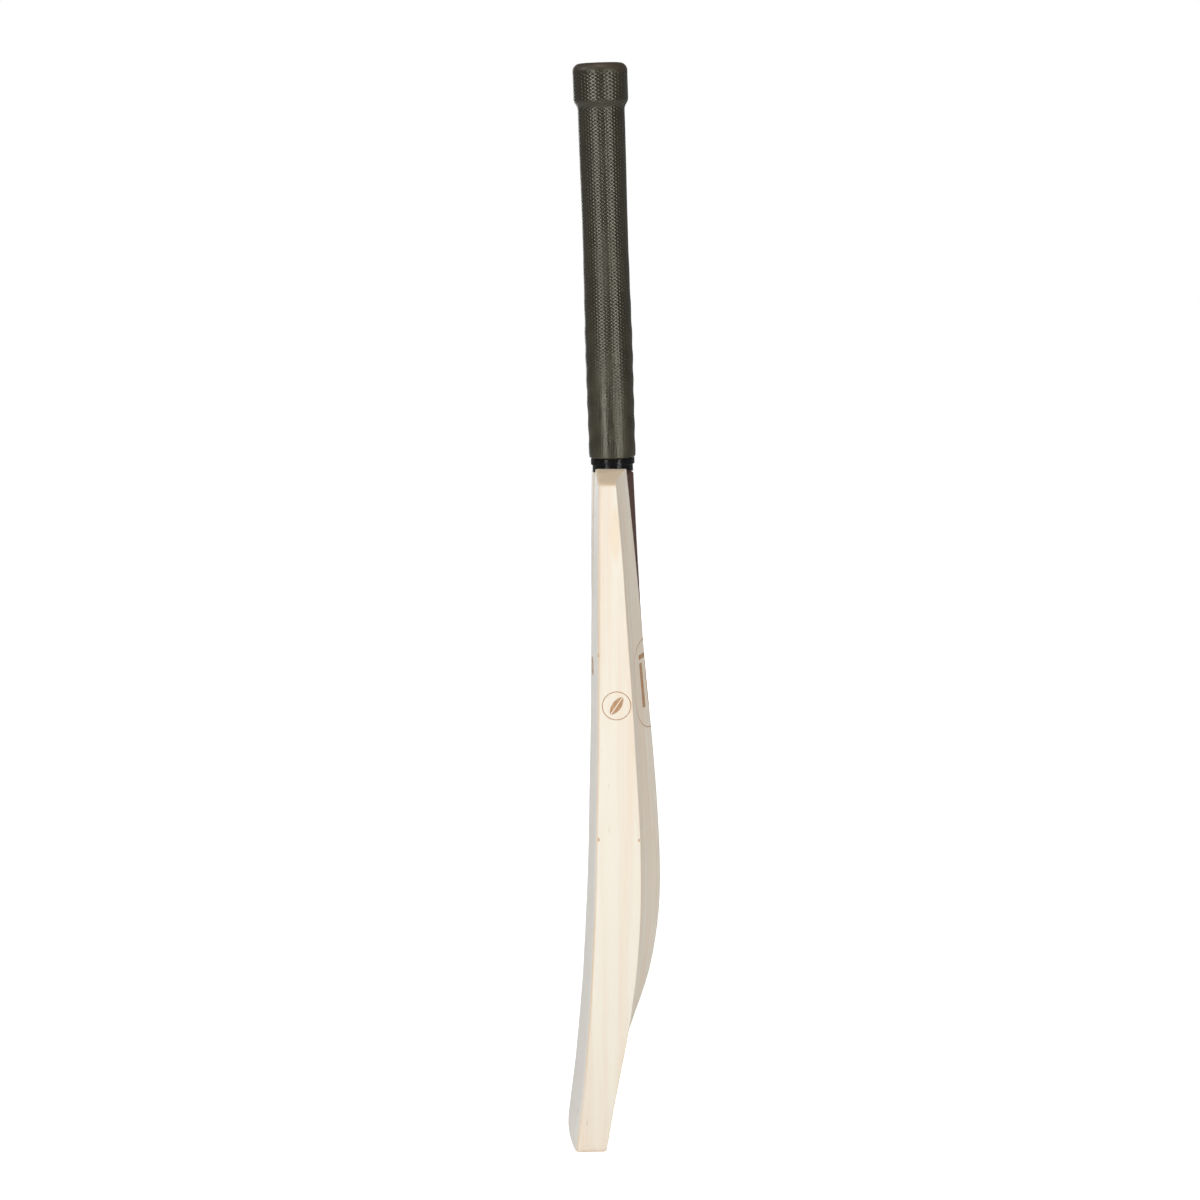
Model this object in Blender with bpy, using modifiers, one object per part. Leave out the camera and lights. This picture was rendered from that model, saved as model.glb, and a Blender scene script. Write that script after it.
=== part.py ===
"""Long-handle cricket bat: a willow blade, a spliced cane handle with rubber springs, twine,
a rubber grip and two wraps of black tape.

Metres, +Z up along the bat. The toe's flat base is at Z 0 with its centre at X 0, Y 0, the
face looks to -Y, the spine to +Y, and the blade's width lies along X.
"""

import math

import bmesh
import bpy
import numpy as np
from mathutils import Matrix, Vector

# Overall sizes.
OVERALL_LENGTH = 0.876
BLADE_LENGTH = 0.5595
BLADE_WIDTH = 0.108
CLEARANCE = 0.0003

# Blade outline seen from the front.
SHOULDER_NARROWING = 0.003
TAPER_LENGTH = 0.200
SHOULDER_DROP = 0.0085
SHOULDER_ROUND = 0.0018
SHOULDER_TIP = 0.0013
TOE_CORNER_RADIUS = 0.007
TOE_EDGE_RADIUS = 0.0025

# Blade section.
FACE_CORNER_RADIUS = 0.0040
BACK_CORNER_RADIUS = 0.0010
SPINE_ROUND = 0.0025
FLANK_HOLLOW = 1.55

# Share of the blade's length, then the depths of the face, of the edge's back and of the
# spine, and the crown of the face.
BLADE_STATIONS = (
    (0.0000, -0.0124, 0.0124, 0.0146, 0.0042),
    (0.0304, -0.0106, 0.0152, 0.0180, 0.0042),
    (0.0679, -0.0081, 0.0186, 0.0222, 0.0040),
    (0.1037, -0.0060, 0.0223, 0.0268, 0.0038),
    (0.1412, -0.0043, 0.0262, 0.0319, 0.0035),
    (0.1769, -0.0028, 0.0300, 0.0382, 0.0032),
    (0.2145, -0.0013, 0.0330, 0.0456, 0.0029),
    (0.2502, -0.0003, 0.0356, 0.0514, 0.0026),
    (0.2860, 0.0006, 0.0377, 0.0552, 0.0024),
    (0.3217, 0.0015, 0.0392, 0.0580, 0.0022),
    (0.3575, 0.0023, 0.0402, 0.0595, 0.0020),
    (0.3932, 0.0029, 0.0405, 0.0599, 0.0019),
    (0.4290, 0.0034, 0.0404, 0.0594, 0.0018),
    (0.4647, 0.0037, 0.0400, 0.0585, 0.0017),
    (0.5004, 0.0040, 0.0392, 0.0573, 0.0016),
    (0.5362, 0.0044, 0.0381, 0.0559, 0.0016),
    (0.6077, 0.0050, 0.0356, 0.0525, 0.0015),
    (0.6792, 0.0053, 0.0331, 0.0486, 0.0014),
    (0.7453, 0.0054, 0.0305, 0.0453, 0.0013),
    (0.8132, 0.0055, 0.0278, 0.0425, 0.0012),
    (0.8847, 0.0055, 0.0250, 0.0400, 0.0010),
    (0.9473, 0.0055, 0.0220, 0.0382, 0.0008),
    (0.9848, 0.0058, 0.0201, 0.0371, 0.0006),
    (1.0000, 0.0060, 0.0194, 0.0368, 0.0004),
)

# Handle.
HANDLE_RADIUS = 0.0144
HANDLE_LEAN = math.radians(1.9)
HANDLE_END_INSET = 0.0030
SPLICE_DEPTH = 0.1285
SPLICE_FLARE = 0.0010
SPLICE_TIP_HALF_WIDTH = 0.0009
ROUNDING_LENGTH = 0.0015

# Laminations of the handle.
SPRING_THICKNESS = 0.0014
SPRING_PITCH = 0.0072
CANE_SPLIT = 0.0050
GLUE_GAP = 0.0002
TIP_LEFT_ON_SIDE_CANES = 0.0008

# Twine and tape, as sleeves on the handle's axis.
TWINE_THICKNESS = 0.0008
TWINE_COUNT = 4
TWINE_RISE = 0.0020
TAPE_THICKNESS = 0.0007
TAPE_DROP = 0.0032
TAPE_ARCH = 0.0042
TAPE_LENGTH = 0.0107
UPPER_TAPE_LENGTH = 0.0050
UPPER_TAPE_THICKNESS = 0.0010

# Grip.
GRIP_LIP_RADIUS = 0.0115
COLLAR_WALL = 0.0057
COLLAR_HEIGHT = 0.0275
COLLAR_TAPER = 0.0080
COLLAR_ROUND = 0.0062
GRIP_FOOT_ROUND = 0.0010
GRIP_LIP_ROUND = 0.0006
# Distance above the grip's foot, and the wall there.
GRIP_WALLS = (
    (0.0000, 0.00270),
    (0.0076, 0.00305),
    (0.0166, 0.00260),
    (0.0256, 0.00305),
    (0.0346, 0.00265),
    (0.0436, 0.00310),
    (0.0526, 0.00270),
    (0.0616, 0.00315),
    (0.0706, 0.00275),
    (0.0796, 0.00325),
    (0.0886, 0.00285),
    (0.0986, 0.00315),
    (0.1086, 0.00265),
    (0.1206, 0.00285),
    (0.1326, 0.00245),
    (0.1476, 0.00245),
    (0.1646, 0.00220),
    (0.1826, 0.00225),
    (0.2026, 0.00230),
    (0.2326, 0.00250),
    (0.2576, 0.00265),
)

# What follows from the sizes above.
SHOULDER_HEIGHT = BLADE_LENGTH - SHOULDER_DROP
SPLICE_TIP_HEIGHT = BLADE_LENGTH - SPLICE_DEPTH
SPLICE_TOP_HALF_WIDTH = HANDLE_RADIUS + SPLICE_FLARE
TWINE_INNER = HANDLE_RADIUS + CLEARANCE
TWINE_OUTER = TWINE_INNER + TWINE_THICKNESS
TWINE_START = BLADE_LENGTH + TWINE_RISE
TAPE_INNER = TWINE_OUTER + CLEARANCE
TAPE_OUTER = TAPE_INNER + TAPE_THICKNESS
TAPE_START = BLADE_LENGTH - TAPE_DROP
TAPE_END = TAPE_START + TAPE_LENGTH
ROUND_START = TAPE_START - CLEARANCE - ROUNDING_LENGTH
GRIP_INNER = TWINE_OUTER + CLEARANCE
GRIP_START = TAPE_END + CLEARANCE
COLLAR_RADIUS = GRIP_INNER + COLLAR_WALL
AXIS_HEIGHT = BLADE_LENGTH
AXIS_OFFSET = BLADE_STATIONS[-1][3] - TAPE_OUTER

# Fineness of the meshes, and how far helper solids reach past what they cut.
ROUND_STEPS = 40
CUTTER_MARGIN = 0.020
CUTTER_REACH = 0.120
SPLICE_POINTS = 8
FACE_POINTS = 13
BACK_POINTS = 21


def reset_scene():
    """Remove everything in the startup scene and return the bat's and the cutters' collections."""
    for item in list(bpy.data.objects):
        bpy.data.objects.remove(item)
    bat = bpy.data.collections.new("cricket_bat")
    cutters = bpy.data.collections.new("cutters")
    cutters.hide_render = True
    bpy.context.scene.collection.children.link(bat)
    bpy.context.scene.collection.children.link(cutters)
    return bat, cutters


def make_material(name, colour, roughness):
    """A Principled material with one colour."""
    material = bpy.data.materials.new(name)
    material.use_nodes = True
    shader = material.node_tree.nodes["Principled BSDF"]
    shader.inputs["Base Color"].default_value = (*colour, 1.0)
    shader.inputs["Roughness"].default_value = roughness
    shader.inputs["Metallic"].default_value = 0.0
    material.diffuse_color = (*colour, 1.0)
    return material


def add_object(name, mesh, collection, material=None):
    """Link a mesh into a collection as a named object."""
    item = bpy.data.objects.new(name, mesh)
    collection.objects.link(item)
    if material is not None:
        mesh.materials.append(material)
    return item


def add_cutter(name, mesh, collection):
    """A helper solid that is never rendered."""
    item = add_object(name, mesh, collection)
    item.hide_render = True
    item.display_type = "WIRE"
    return item


def shade(item, degrees=30.0):
    """Smooth shading with the corners kept sharp."""
    item.data.shade_smooth()
    item.data.set_sharp_from_angle(angle=math.radians(degrees))


def add_boolean(item, operation, other):
    """Add an exact Boolean to an object."""
    modifier = item.modifiers.new(operation.lower(), "BOOLEAN")
    modifier.operation = operation
    modifier.solver = "EXACT"
    modifier.object = other


def bake(item):
    """Replace an object's mesh with its evaluated one, so that it can be shaded."""
    graph = bpy.context.evaluated_depsgraph_get()
    evaluated = item.evaluated_get(graph)
    mesh = bpy.data.meshes.new_from_object(evaluated, depsgraph=graph)
    materials = [slot.material for slot in item.material_slots]
    item.modifiers.clear()
    mesh.name = item.name
    item.data = mesh
    mesh.materials.clear()
    for material in materials:
        mesh.materials.append(material)
    clean = bmesh.new()
    clean.from_mesh(mesh)
    bmesh.ops.remove_doubles(clean, verts=clean.verts, dist=2e-6)
    bmesh.ops.dissolve_degenerate(clean, dist=2e-6, edges=clean.edges)
    clean.to_mesh(mesh)
    clean.free()


def smooth_curve(heights, values, at):
    """A cubic through the stations that never overshoots them."""
    heights = np.asarray(heights, float)
    values = np.asarray(values, float)
    steps = np.diff(heights)
    slopes = np.diff(values) / steps
    tangents = np.zeros_like(values)
    for i in range(1, len(values) - 1):
        before, after = slopes[i - 1], slopes[i]
        if before * after > 0.0:
            wide = 2.0 * steps[i] + steps[i - 1]
            narrow = steps[i] + 2.0 * steps[i - 1]
            tangents[i] = (wide + narrow) / (wide / before + narrow / after)
    tangents[0] = slopes[0]
    tangents[-1] = slopes[-1]
    at = min(max(at, heights[0]), heights[-1])
    i = min(int(np.searchsorted(heights, at, side="right")) - 1, len(steps) - 1)
    t = (at - heights[i]) / steps[i]
    return (
        (2 * t**3 - 3 * t**2 + 1) * values[i]
        + (t**3 - 2 * t**2 + t) * steps[i] * tangents[i]
        + (3 * t**2 - 2 * t**3) * values[i + 1]
        + (t**3 - t**2) * steps[i] * tangents[i + 1]
    )


STATION_COLUMNS = tuple(zip(*BLADE_STATIONS))


class BladeSection:
    """The blade's surfaces at one height."""

    def __init__(self, height):
        shares, *columns = STATION_COLUMNS
        share = height / BLADE_LENGTH
        self.face, self.back, self.spine, self.crown = (
            smooth_curve(shares, column, share) for column in columns
        )
        taper = (height - SHOULDER_HEIGHT) / TAPER_LENGTH + 1.0
        self.half = 0.5 * (BLADE_WIDTH - SHOULDER_NARROWING * min(max(taper, 0.0), 1.0))
        self.inset = toe_rounding(height, TOE_EDGE_RADIUS)

    def face_at(self, x):
        """Depth of the face at a distance from the middle plane."""
        return self.face - self.crown * (1.0 - (x / self.half) ** 2) + self.inset

    def back_at(self, x):
        """Depth of the back, a hollow flank rising to a rounded spine."""
        reach = math.hypot(self.half, SPINE_ROUND) - SPINE_ROUND
        out = (math.hypot(x, SPINE_ROUND) - SPINE_ROUND) / reach
        rise = max(0.0, 1.0 - out) ** FLANK_HOLLOW
        return self.back + (self.spine - self.back) * rise - self.inset


def toe_rounding(height, radius):
    """How far a quarter circle on the toe's rim steps in at a height."""
    if height >= radius:
        return 0.0
    return radius - math.sqrt(max(0.0, radius**2 - (radius - height) ** 2))


def outline_half_width(height, half):
    """Half of the blade's outline: round toe corners and sloping shoulders."""
    half -= toe_rounding(height, TOE_CORNER_RADIUS)
    foot = SHOULDER_HEIGHT
    if height <= foot - SHOULDER_ROUND:
        return half
    inner = SPLICE_TOP_HALF_WIDTH + CLEARANCE + SHOULDER_TIP
    slope = (BLADE_LENGTH - foot) / (half - inner)
    if height >= foot + SHOULDER_ROUND * slope:
        return half - (height - foot) / slope
    t = (height - foot + SHOULDER_ROUND) / (SHOULDER_ROUND * (1.0 + slope))
    return half - SHOULDER_ROUND * t**2


def arc(centre_x, centre_y, radius, start, end, steps):
    """Points on an arc, both ends included."""
    angles = np.radians(np.linspace(start, end, steps + 1))
    return [(centre_x + radius * math.cos(a), centre_y + radius * math.sin(a)) for a in angles]


def blade_outline(height):
    """The closed section of the blade at one height, counter-clockwise from above."""
    section = BladeSection(height)
    half = outline_half_width(height, section.half)
    soft, crisp = FACE_CORNER_RADIUS, BACK_CORNER_RADIUS
    face_reach = half - soft
    back_reach = half - crisp
    face = [(x, section.face_at(x)) for x in np.linspace(-face_reach, face_reach, FACE_POINTS)]
    right = arc(face_reach, section.face_at(face_reach) + soft, soft, -90.0, 0.0, 4)[1:]
    right += arc(back_reach, section.back_at(back_reach) - crisp, crisp, 0.0, 90.0, 3)[:-1]
    turns = np.linspace(-1.0, 1.0, BACK_POINTS)
    places = np.sign(turns) * np.abs(turns) ** 1.3 * back_reach
    back = [(x, section.back_at(x)) for x in places[::-1]]
    left = [(-x, y) for x, y in right[::-1]]
    return face + right + back + left


def loft(name, rings):
    """A closed mesh through rings of equal length, capped at both ends."""
    build = bmesh.new()
    layers = [[build.verts.new(point) for point in ring] for ring in rings]
    count = len(layers[0])
    for low, high in zip(layers, layers[1:]):
        for i in range(count):
            j = (i + 1) % count
            build.faces.new((low[i], low[j], high[j], high[i]))
    build.faces.new(layers[0][::-1])
    build.faces.new(layers[-1])
    mesh = bpy.data.meshes.new(name)
    build.to_mesh(mesh)
    build.free()
    return mesh


def blade_heights():
    """Heights of the loft's rings, close together at the toe's rim and at the shoulders."""
    rim = [TOE_EDGE_RADIUS * share for share in (0.0, 0.08, 0.28, 0.6, 1.0)]
    corner = [TOE_CORNER_RADIUS * share for share in (0.52, 0.74, 1.0)]
    toe = sorted(rim + corner)
    body = list(np.linspace(1.6 * TOE_CORNER_RADIUS, SHOULDER_HEIGHT - SHOULDER_ROUND, 43))
    lift = SHOULDER_ROUND
    shoulder = [SHOULDER_HEIGHT - 0.6 * lift, SHOULDER_HEIGHT - 0.2 * lift]
    shoulder += list(np.linspace(SHOULDER_HEIGHT + 0.3 * lift, BLADE_LENGTH, 7))
    return toe + body + shoulder


def splice_half_width(height):
    """Half width of the handle's wedge."""
    rise = (height - SPLICE_TIP_HEIGHT) / (BLADE_LENGTH - SPLICE_TIP_HEIGHT)
    return SPLICE_TIP_HALF_WIDTH + (SPLICE_TOP_HALF_WIDTH - SPLICE_TIP_HALF_WIDTH) * rise


def along_axis(height):
    """Distance along the handle's axis from the point where it is placed."""
    return (height - AXIS_HEIGHT) / math.cos(HANDLE_LEAN)


def build_blade(bat, cutters, willow):
    """The willow blade with the socket for the splice."""
    rings = [[(x, y, z) for x, y in blade_outline(z)] for z in blade_heights()]
    blade = add_object("blade", loft("blade", rings), bat, willow)
    low = SPLICE_TIP_HEIGHT - CLEARANCE
    high = BLADE_LENGTH + CUTTER_MARGIN
    near, far = -CUTTER_REACH, CUTTER_REACH
    rings = []
    for height in (low, high):
        half = splice_half_width(height) + CLEARANCE
        corners = ((-half, near), (half, near), (half, far), (-half, far))
        rings.append([(x, y, height) for x, y in corners])
    socket = add_cutter("splice_socket", loft("splice_socket", rings), cutters)
    add_boolean(blade, "DIFFERENCE", socket)
    bake(blade)
    shade(blade)


def splice_ring(height):
    """The handle's section inside the blade, flush with the face and the spine."""
    section = BladeSection(height)
    half = splice_half_width(height)
    steps = np.linspace(-1.0, 1.0, SPLICE_POINTS + 1)[:-1]
    face = [(half * s, section.face_at(half * s)) for s in steps]
    back = [(-half * s, section.back_at(half * s)) for s in steps]
    low, high = section.face_at(half), section.back_at(half)
    middle, reach = 0.5 * (low + high), 0.5 * (high - low)
    right = [(half, middle + reach * s) for s in steps]
    left = [(-half, middle - reach * s) for s in steps]
    return [(x, y, height) for x, y in face + right + back + left]


def round_ring(height):
    """The handle's turned section above the blade."""
    count = 4 * SPLICE_POINTS
    angles = np.radians(-135.0 + 360.0 * np.arange(count) / count)
    lean = Matrix.Rotation(HANDLE_LEAN, 4, "X")
    foot = Vector((0.0, AXIS_OFFSET, AXIS_HEIGHT))
    ring = []
    for a in angles:
        x, y = HANDLE_RADIUS * math.cos(a), HANDLE_RADIUS * math.sin(a)
        ring.append(tuple(foot + lean @ Vector((x, y, along_axis(height)))))
    return ring


def handle_envelope(cutters):
    """The outer shape that every cane and spring is cut to."""
    heights = list(np.linspace(SPLICE_TIP_HEIGHT, ROUND_START, 12))
    rings = [splice_ring(height) for height in heights]
    rings.append(round_ring(ROUND_START + ROUNDING_LENGTH))
    rings.append(round_ring(OVERALL_LENGTH - HANDLE_END_INSET))
    return add_cutter("handle_envelope", loft("handle_envelope", rings), cutters)


def box_mesh(name, low, high):
    """A box between two corners."""
    build = bmesh.new()
    bmesh.ops.create_cube(build, size=1.0)
    size = Vector(high) - Vector(low)
    middle = (Vector(high) + Vector(low)) / 2.0
    bmesh.ops.scale(build, vec=size, verts=build.verts)
    bmesh.ops.translate(build, vec=middle, verts=build.verts)
    mesh = bpy.data.meshes.new(name)
    build.to_mesh(mesh)
    build.free()
    return mesh


def on_axis(item):
    """Stand an object, made with the handle's axis as its own Z, on the leaning axis."""
    item.rotation_euler = (HANDLE_LEAN, 0.0, 0.0)
    item.location = (0.0, AXIS_OFFSET, AXIS_HEIGHT)
    bpy.context.view_layer.update()


def build_lamination(name, span_x, span_y, low, envelope, bat, material):
    """One strip of the handle, cut to the handle's outer shape."""
    far = CUTTER_MARGIN * 2.0
    limits = [far if value is None else value for value in (*span_x, *span_y)]
    if span_x[0] is None:
        limits[0] = -far
    if span_y[0] is None:
        limits[2] = -far
    start = along_axis(low)
    end = along_axis(OVERALL_LENGTH) + far
    corner_a = (limits[0], limits[2], start)
    corner_b = (limits[1], limits[3], end)
    strip = add_object(name, box_mesh(name, corner_a, corner_b), bat, material)
    on_axis(strip)
    add_boolean(strip, "INTERSECT", envelope)
    bake(strip)
    shade(strip)


def build_handle(bat, cutters, cane, spring):
    """Twelve canes in four slabs, with three springs between the slabs."""
    envelope = handle_envelope(cutters)
    half_spring = SPRING_THICKNESS / 2.0
    step = half_spring + GLUE_GAP
    slabs = (
        (None, -SPRING_PITCH - step),
        (-SPRING_PITCH + step, -step),
        (step, SPRING_PITCH - step),
        (SPRING_PITCH + step, None),
    )
    side = CANE_SPLIT + GLUE_GAP / 2.0
    middle = CANE_SPLIT - GLUE_GAP / 2.0
    columns = (("left", (None, -side)), ("middle", (-middle, middle)), ("right", (side, None)))
    deep = SPLICE_TIP_HEIGHT - CUTTER_MARGIN
    slope = (SPLICE_TOP_HALF_WIDTH - SPLICE_TIP_HALF_WIDTH) / (BLADE_LENGTH - SPLICE_TIP_HEIGHT)
    reach = side + TIP_LEFT_ON_SIDE_CANES - SPLICE_TIP_HALF_WIDTH
    side_low = SPLICE_TIP_HEIGHT + reach / slope
    for number, span_y in enumerate(slabs, 1):
        for column, span_x in columns:
            low = deep if column == "middle" else side_low
            build_lamination(f"cane_{number}_{column}", span_x, span_y, low, envelope, bat, cane)
    for number, place in enumerate((-SPRING_PITCH, 0.0, SPRING_PITCH), 1):
        span_y = (place - half_spring, place + half_spring)
        build_lamination(f"spring_{number}", (None, None), span_y, deep, envelope, bat, spring)


def build_sleeve(name, profile, bat, material):
    """A ring swept round the handle's axis from an (radius, height) outline."""
    count = len(profile)
    mesh = bpy.data.meshes.new(name)
    points = [(radius, 0.0, along_axis(height)) for radius, height in profile]
    edges = [(i, (i + 1) % count) for i in range(count)]
    mesh.from_pydata(points, edges, [])
    sleeve = add_object(name, mesh, bat, material)
    screw = sleeve.modifiers.new("turn", "SCREW")
    screw.axis = "Z"
    screw.angle = 2.0 * math.pi
    screw.steps = ROUND_STEPS
    screw.render_steps = ROUND_STEPS
    screw.use_merge_vertices = True
    screw.merge_threshold = 0.000001
    screw.use_normal_calculate = True
    on_axis(sleeve)
    return sleeve


def plain_ring(inner, outer, low, high, chamfer):
    """A rectangle with small chamfers on its outer corners."""
    return [
        (outer - chamfer, high),
        (outer, high - chamfer),
        (outer, low + chamfer),
        (outer - chamfer, low),
        (inner, low),
        (inner, high),
    ]


def build_twine(bat, twine):
    """Four whippings end to end along the handle."""
    end = OVERALL_LENGTH - HANDLE_END_INSET - CLEARANCE
    length = (end - TWINE_START) / TWINE_COUNT
    for number in range(TWINE_COUNT):
        low = TWINE_START + number * length
        high = low + length - CLEARANCE
        profile = plain_ring(TWINE_INNER, TWINE_OUTER, low, high, 0.35 * TWINE_THICKNESS)
        sleeve = build_sleeve(f"twine_{number + 1}", profile, bat, twine)
        bake(sleeve)
        shade(sleeve)


def arch_cutter(cutters):
    """Everything under the arched foot of the tape, as seen along Y."""
    reach = 1.5 * TAPE_OUTER
    steps = np.linspace(-1.0, 1.0, 33)
    top = [(reach * s, tape_foot(reach * s)) for s in steps]
    low = TAPE_START - CUTTER_MARGIN
    outline = [(-reach, low), (reach, low), *top[::-1]]
    rings = [[(x, y, z) for x, z in outline] for y in (-CUTTER_REACH, CUTTER_REACH)]
    mesh = loft("tape_arch", rings)
    mesh.flip_normals()
    return add_cutter("tape_arch", mesh, cutters)


def tape_foot(x):
    """Height of the tape's lower edge: it rides up over the shoulders at the sides."""
    return TAPE_START + TAPE_ARCH * (x / TAPE_OUTER) ** 2


def build_tape(bat, cutters, tape):
    """Two wraps of tape at the foot of the handle."""
    low = TAPE_START - TAPE_ARCH
    profile = plain_ring(TAPE_INNER, TAPE_OUTER, low, TAPE_END, 0.3 * TAPE_THICKNESS)
    lower = build_sleeve("tape_lower", profile, bat, tape)
    bake(lower)
    add_boolean(lower, "DIFFERENCE", arch_cutter(cutters))
    bake(lower)
    shade(lower)
    inner = TAPE_OUTER + CLEARANCE
    outer = inner + UPPER_TAPE_THICKNESS
    low = TAPE_END - UPPER_TAPE_LENGTH
    profile = plain_ring(inner, outer, low, TAPE_END, 0.3 * UPPER_TAPE_THICKNESS)
    upper = build_sleeve("tape_upper", profile, bat, tape)
    bake(upper)
    shade(upper)


def grip_radius(height):
    """Outer radius of the grip's sleeve at a height."""
    rises, walls = zip(*GRIP_WALLS)
    return GRIP_INNER + smooth_curve(rises, walls, height - GRIP_START)


def build_grip(bat, rubber):
    """The rubber grip: a wavy sleeve with a thick collar that folds over the handle's end."""
    top = OVERALL_LENGTH
    collar_foot = top - COLLAR_HEIGHT
    sleeve_end = collar_foot - COLLAR_TAPER
    step = COLLAR_RADIUS - grip_radius(sleeve_end)
    flat = COLLAR_RADIUS - COLLAR_ROUND
    lip = [(GRIP_LIP_RADIUS, top - GRIP_LIP_ROUND), (GRIP_LIP_RADIUS + GRIP_LIP_ROUND, top)]
    collar = arc(flat, top - COLLAR_ROUND, COLLAR_ROUND, 90.0, 0.0, 8)
    taper = [
        (COLLAR_RADIUS - step * (1.0 - math.cos(math.pi * t)) / 2.0, collar_foot - COLLAR_TAPER * t)
        for t in (-0.05, 0.15, 0.35, 0.5, 0.65, 0.85, 1.0)
    ]
    fine = np.linspace(GRIP_START + GRIP_FOOT_ROUND, sleeve_end - COLLAR_TAPER / 2.0, 58)
    sleeve = [(grip_radius(z), z) for z in fine[::-1]]
    foot = [(grip_radius(GRIP_START) - GRIP_FOOT_ROUND, GRIP_START), (GRIP_INNER, GRIP_START)]
    lip_under = top - HANDLE_END_INSET + CLEARANCE
    inside = [(GRIP_INNER, lip_under), (GRIP_LIP_RADIUS, lip_under)]
    profile = lip + collar + taper + sleeve + foot + inside
    grip = build_sleeve("grip", profile, bat, rubber)
    bake(grip)
    shade(grip, 40.0)


def main():
    """Build the bat."""
    bat, cutters = reset_scene()
    willow = make_material("willow", (0.83, 0.72, 0.56), 0.55)
    cane = make_material("cane", (0.085, 0.038, 0.028), 0.50)
    spring = make_material("spring", (0.05, 0.05, 0.05), 0.80)
    twine = make_material("twine", (0.50, 0.42, 0.28), 0.90)
    tape = make_material("tape", (0.008, 0.008, 0.008), 0.25)
    rubber = make_material("grip", (0.045, 0.040, 0.027), 0.55)
    build_blade(bat, cutters, willow)
    build_handle(bat, cutters, cane, spring)
    build_twine(bat, twine)
    build_tape(bat, cutters, tape)
    build_grip(bat, rubber)
    for item in bat.objects:
        item.data.transform(item.matrix_world)
        item.matrix_world = Matrix.Identity(4)


main()
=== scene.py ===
"""Looks of a long-handle cricket bat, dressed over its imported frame.

Metres, +Z up the bat, the face to -Y, the spine to +Y and the blade's width along X.
"""

import logging
import math
from dataclasses import dataclass
from enum import Enum
from itertools import accumulate

import bmesh
import bpy
from mathutils import Matrix, Vector, noise


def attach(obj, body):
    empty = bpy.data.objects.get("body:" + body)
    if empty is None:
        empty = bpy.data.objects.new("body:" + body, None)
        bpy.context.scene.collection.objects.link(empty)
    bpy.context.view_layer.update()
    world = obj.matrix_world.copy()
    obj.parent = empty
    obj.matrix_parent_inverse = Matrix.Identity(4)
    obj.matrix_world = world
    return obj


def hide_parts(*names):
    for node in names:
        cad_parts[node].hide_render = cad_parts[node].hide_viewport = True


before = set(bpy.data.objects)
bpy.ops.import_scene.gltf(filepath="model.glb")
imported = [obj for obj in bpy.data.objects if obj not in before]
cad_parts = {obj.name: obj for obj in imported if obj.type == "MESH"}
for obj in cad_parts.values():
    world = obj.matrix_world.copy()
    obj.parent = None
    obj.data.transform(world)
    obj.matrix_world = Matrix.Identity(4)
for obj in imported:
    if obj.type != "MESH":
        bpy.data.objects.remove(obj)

LOG = logging.getLogger("cricket_bat")
BODY = "root"
TURN = 2.0 * math.pi
MERGE = 1e-6  # points closer than this are one
NEAR = 1e-4  # how closely two sizes of an outline agree
WOOD_CREASE = 32.0  # degrees, the sharpest edge of wood that is shaded soft

Pair = tuple[float, float]
Triple = tuple[float, float, float]
Colour = Triple
Outline = list[Pair]
Socket = bpy.types.NodeSocket
Object = bpy.types.Object
Material = bpy.types.Material

FULL: Pair = (0.0, 1.0)
MIDDLE: Pair = (0.3, 0.7)  # where most values of a noise lie


# ---- the workbench


def deselect() -> None:
    """Leave nothing selected."""
    for item in bpy.context.selected_objects:
        item.select_set(False)


def take(*pieces: Object) -> None:
    """Select some pieces only, the first of them active.

    Args:
        pieces: The pieces to select.
    """
    deselect()
    for piece in pieces:
        piece.select_set(True)
    bpy.context.view_layer.objects.active = pieces[0]


def edit(piece: Object) -> None:
    """Open a piece in edit mode with all of it selected.

    Args:
        piece: The mesh object to open.
    """
    take(piece)
    bpy.ops.object.mode_set(mode="EDIT")
    bpy.ops.mesh.select_all(action="SELECT")


def close_edit() -> None:
    """Go back to object mode."""
    bpy.ops.object.mode_set(mode="OBJECT")


def merge_doubles(piece: Object, reach: float = MERGE, outwards: bool = True) -> None:
    """Merge a piece's touching points and turn its faces outwards.

    Args:
        piece: The mesh object to clean.
        reach: How close two points have to be.
        outwards: Whether its normals are recalculated as well.
    """
    edit(piece)
    bpy.ops.mesh.remove_doubles(threshold=reach)
    if outwards:
        bpy.ops.mesh.normals_make_consistent(inside=False)
    close_edit()


def smooth(piece: Object, degrees: float) -> None:
    """Shade a piece smooth, with corners sharper than an angle kept."""
    take(piece)
    bpy.ops.object.shade_smooth_by_angle(angle=math.radians(degrees))


def dress(piece: Object, material: Material, slot: str, node: str) -> None:
    """Give a finished piece its material and its place in the bat.

    Args:
        piece: The piece, with its place in its mesh.
        material: Its finish.
        slot: The record's material slot.
        node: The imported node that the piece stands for.
    """
    piece.data.materials.clear()
    piece.data.materials.append(material)
    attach(piece, BODY)
    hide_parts(node)
    LOG.info("%s: %d faces, slot %s", piece.name, len(piece.data.polygons), slot)


def new_object(name: str, data: bpy.types.ID) -> Object:
    """Put a mesh, a lamp or a camera into the scene, at the origin.

    Args:
        name: The new object's name.
        data: What it holds.

    Returns:
        The new object.
    """
    item = bpy.data.objects.new(name, data)
    bpy.context.scene.collection.objects.link(item)
    return item


def refined_copy(node: str, name: str) -> Object:
    """A copy of a packed wooden node with its points merged and its soft places smooth.

    Args:
        node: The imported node.
        name: The copy's name.

    Returns:
        The new piece.
    """
    piece = new_object(name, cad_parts[node].data.copy())
    take(piece)
    bpy.ops.mesh.customdata_custom_splitnormals_clear()
    merge_doubles(piece, outwards=False)
    smooth(piece, WOOD_CREASE)
    return piece


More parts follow.
